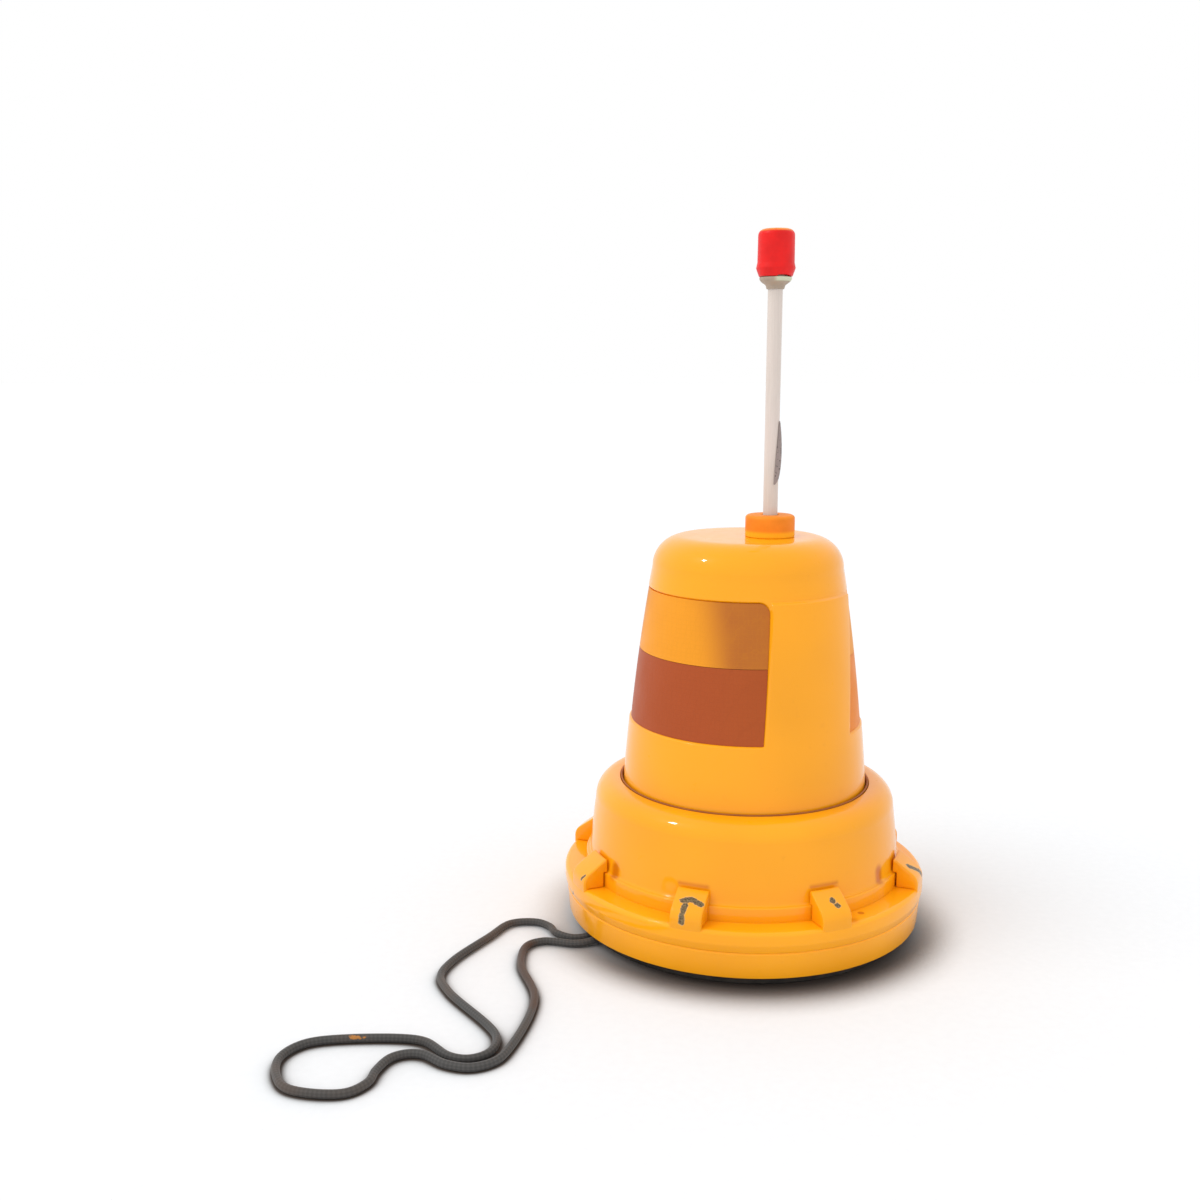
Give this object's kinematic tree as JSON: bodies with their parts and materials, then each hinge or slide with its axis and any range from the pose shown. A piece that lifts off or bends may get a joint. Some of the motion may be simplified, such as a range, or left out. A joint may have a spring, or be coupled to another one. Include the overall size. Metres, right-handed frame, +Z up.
{
  "type": "traffic barrier",
  "caption": "Free-standing traffic barrier marker: weighted ring base with clamp lugs, bell housing, turning cone with reflector panels, off-centre mast with a red cap, and a cord lanyard.",
  "frame": {"origin": "on the ground under the middle of the base ring", "axes": "+Z up along the mast; the cleat for the lanyard is on the -X -Y side and the mast is offset towards +X"},
  "size_m": [0.4168, 0.3798, 0.4823],
  "materials": {
    "body": "glossy moulded orange",
    "collar": "matte moulded orange",
    "amber_sheet": "satin amber reflective sheet",
    "brown_sheet": "satin red-brown reflective sheet",
    "black_plastic": "moulded black",
    "rubber": "moulded black rubber",
    "cast_iron": "as cast",
    "steel": "zinc plated",
    "bronze": "sintered bronze",
    "nylon": "machined nylon",
    "mast": "satin gel-coated glass fibre",
    "label": "printed foil label, worn",
    "ferrule": "satin moulded",
    "cap": "satin moulded red",
    "cord": "braided cord"
  },
  "bodies": {
    "base": {"rubber_foot": "rubber", "base_plate": "steel", "base_ring": "body", "ballast_weight": "cast_iron", "tether_cleat": "black_plastic", "cleat_screw": "steel", "bell_gasket": "rubber", "bell_housing": "body", "spindle": "steel", "spindle_base_nut": "steel", "spindle_top_nut": "steel", "thrust_washer": "bronze", "spindle_top_washer": "steel", "seat_ring": "nylon", "seam_seal": "rubber", "tether_cord": "cord", "base_screw_1": "steel", "base_screw_2": "steel", "base_screw_3": "steel", "base_screw_4": "steel", "clamp_lug_1": "body", "lug_screw_1": "steel", "clamp_lug_2": "body", "lug_screw_2": "steel", "clamp_lug_3": "body", "lug_screw_3": "steel", "clamp_lug_4": "body", "lug_screw_4": "steel", "clamp_lug_5": "body", "lug_screw_5": "steel", "clamp_lug_6": "body", "lug_screw_6": "steel", "clamp_lug_7": "body", "lug_screw_7": "steel", "clamp_lug_8": "body", "lug_screw_8": "steel"},
    "cone": {"cone_cover": "body", "lower_reflector_left": "brown_sheet", "lower_reflector_right": "amber_sheet", "upper_reflector_left": "amber_sheet", "upper_reflector_right": "amber_sheet", "cone_floor": "nylon", "floor_screw_1": "steel", "floor_screw_2": "steel", "floor_screw_3": "steel", "floor_screw_4": "steel", "hub_bush": "bronze", "mast_socket": "black_plastic", "socket_nut": "steel", "mast_grommet": "rubber"},
    "collar": {"mast_collar": "collar"},
    "mast": {"mast_rod": "mast", "mast_label": "label", "mast_ferrule": "ferrule"},
    "cap": {"mast_cap": "cap"}
  },
  "joints": [
    {"name": "cone_turn", "type": "hinge", "parent": "base", "child": "cone", "pos_m": [0, 0, 0.1], "axis": [0, 0, 1], "continuous": true},
    {"name": "collar_turn", "type": "hinge", "parent": "cone", "child": "collar", "pos_m": [0.0145, -0.004, 0.28], "axis": [0, 0, 1], "range_deg": [0, 90]},
    {"name": "mast_slide", "type": "slide", "parent": "cone", "child": "mast", "axis": [0, 0, 1], "range_m": [0, 0.07]},
    {"name": "cap_slide", "type": "slide", "parent": "mast", "child": "cap", "axis": [0, 0, 1], "range_m": [0, 0.03]}
  ]
}
